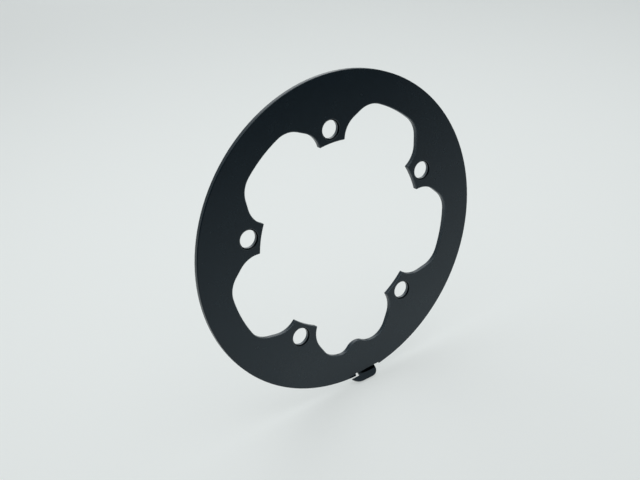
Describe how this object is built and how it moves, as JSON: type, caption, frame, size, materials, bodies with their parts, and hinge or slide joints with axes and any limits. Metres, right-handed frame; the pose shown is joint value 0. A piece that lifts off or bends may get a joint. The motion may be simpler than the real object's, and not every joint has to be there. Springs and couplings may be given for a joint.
{
  "type": "bicycle chain guard",
  "caption": "Flat satin black ring with a lobed opening, bolt lugs, a locating nose and a folded rim tab, bolted outside a chainring to keep clothing off the chain.",
  "frame": {"origin": "centre of the bolt circle, on the inner face that seats at the chainring", "axes": "+Y along the bolts, towards the chainring; +Z from the locating nose up to the lug opposite; +X to the right seen from outside"},
  "size_m": [0.1936, 0.0071, 0.1971],
  "materials": {
    "black_sheet": "satin black anodised"
  },
  "bodies": {
    "root": {"chain_guard": "black_sheet"}
  },
  "joints": []
}
